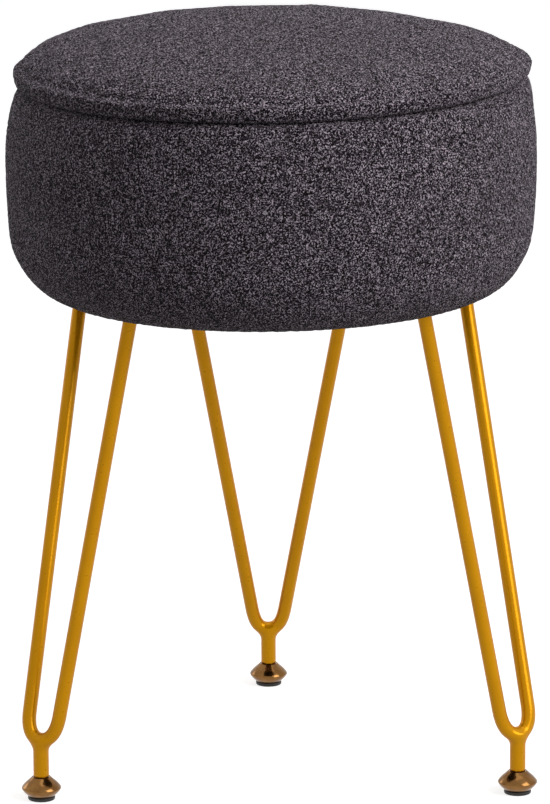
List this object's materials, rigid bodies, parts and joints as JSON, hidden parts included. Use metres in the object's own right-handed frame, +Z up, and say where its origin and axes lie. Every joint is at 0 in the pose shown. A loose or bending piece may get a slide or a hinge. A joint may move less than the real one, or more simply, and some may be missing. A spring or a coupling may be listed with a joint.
{
  "type": "vanity storage stool",
  "caption": "Round upholstered storage stool: a padded fabric drum with a crowned lift-off lid, on splayed hairpin legs with turned levelling glides.",
  "frame": {"origin": "on the floor, under the middle of the whole stool's outline seen from above", "axes": "+Z up; -Y towards the sitter's front, with the single leg at the back on +Y; the stool is the same on both sides of the YZ plane"},
  "size_m": [0.34, 0.359, 0.4893],
  "materials": {
    "boucle_fabric": "charcoal looped pile",
    "foam": "cut upholstery foam",
    "plywood": "bent raw plywood",
    "fibreboard": "raw medium-density board",
    "lining_cloth": "thin black lining cloth",
    "gold_coat": "glossy gold powder coat on steel",
    "antique_brass": "polished turned brass colour",
    "black_plastic": "moulded matte black",
    "zinc_steel": "bright zinc plating"
  },
  "bodies": {
    "stool_base": {"drum_cover": "boucle_fabric", "drum_foam": "foam", "drum_wall": "plywood", "rim_ring": "fibreboard", "wall_lining": "lining_cloth", "floor_lining": "lining_cloth", "base_board": "fibreboard", "dust_cover": "lining_cloth", "hairpin_left": "gold_coat", "hairpin_right": "gold_coat", "hairpin_back": "gold_coat", "glide_socket_left": "gold_coat", "glide_socket_right": "gold_coat", "glide_socket_back": "gold_coat", "leg_plate_left": "gold_coat", "leg_plate_right": "gold_coat", "leg_plate_back": "gold_coat", "leg_bolt_left_1": "zinc_steel", "leg_bolt_left_2": "zinc_steel", "leg_bolt_left_3": "zinc_steel", "leg_bolt_right_1": "zinc_steel", "leg_bolt_right_2": "zinc_steel", "leg_bolt_right_3": "zinc_steel", "leg_bolt_back_1": "zinc_steel", "leg_bolt_back_2": "zinc_steel", "leg_bolt_back_3": "zinc_steel", "tee_nut_left_1": "zinc_steel", "tee_nut_left_2": "zinc_steel", "tee_nut_left_3": "zinc_steel", "tee_nut_right_1": "zinc_steel", "tee_nut_right_2": "zinc_steel", "tee_nut_right_3": "zinc_steel", "tee_nut_back_1": "zinc_steel", "tee_nut_back_2": "zinc_steel", "tee_nut_back_3": "zinc_steel"},
    "lid": {"lid_cover": "boucle_fabric", "lid_foam": "foam", "lid_board": "fibreboard", "locating_disc": "fibreboard", "lid_lining": "lining_cloth", "lid_screw_1": "zinc_steel", "lid_screw_2": "zinc_steel", "lid_screw_3": "zinc_steel", "lid_screw_4": "zinc_steel"},
    "left_foot": {"glide_pad_left": "black_plastic"},
    "left_glide": {"glide_cap_left": "antique_brass", "glide_stem_left": "zinc_steel"},
    "right_foot": {"glide_pad_right": "black_plastic"},
    "right_glide": {"glide_cap_right": "antique_brass", "glide_stem_right": "zinc_steel"},
    "back_foot": {"glide_pad_back": "black_plastic"},
    "back_glide": {"glide_cap_back": "antique_brass", "glide_stem_back": "zinc_steel"}
  },
  "joints": [
    {"name": "lid_lift", "type": "slide", "parent": "stool_base", "child": "lid", "axis": [0, 0, 1], "range_m": [0, 0.15]},
    {"name": "left_glide_height", "type": "slide", "parent": "stool_base", "child": "left_foot", "axis": [0, 0, -1], "range_m": [0, 0.005]},
    {"name": "left_glide_turn", "type": "hinge", "parent": "left_foot", "child": "left_glide", "pos_m": [-0.15294, -0.0978, 0.0028], "axis": [0, 0, -1], "range_deg": [0, 1800]},
    {"name": "right_glide_height", "type": "slide", "parent": "stool_base", "child": "right_foot", "axis": [0, 0, -1], "range_m": [0, 0.005]},
    {"name": "right_glide_turn", "type": "hinge", "parent": "right_foot", "child": "right_glide", "pos_m": [0.15294, -0.0978, 0.0028], "axis": [0, 0, -1], "range_deg": [0, 1800]},
    {"name": "back_glide_height", "type": "slide", "parent": "stool_base", "child": "back_foot", "axis": [0, 0, -1], "range_m": [0, 0.005]},
    {"name": "back_glide_turn", "type": "hinge", "parent": "back_foot", "child": "back_glide", "pos_m": [0, 0.1671, 0.0028], "axis": [0, 0, -1], "range_deg": [0, 1800]}
  ],
  "couplings": [
    {"joint": "left_glide_turn", "follows": "left_glide_height", "rad_per_m": 6283.2},
    {"joint": "right_glide_turn", "follows": "right_glide_height", "rad_per_m": 6283.2},
    {"joint": "back_glide_turn", "follows": "back_glide_height", "rad_per_m": 6283.2}
  ]
}
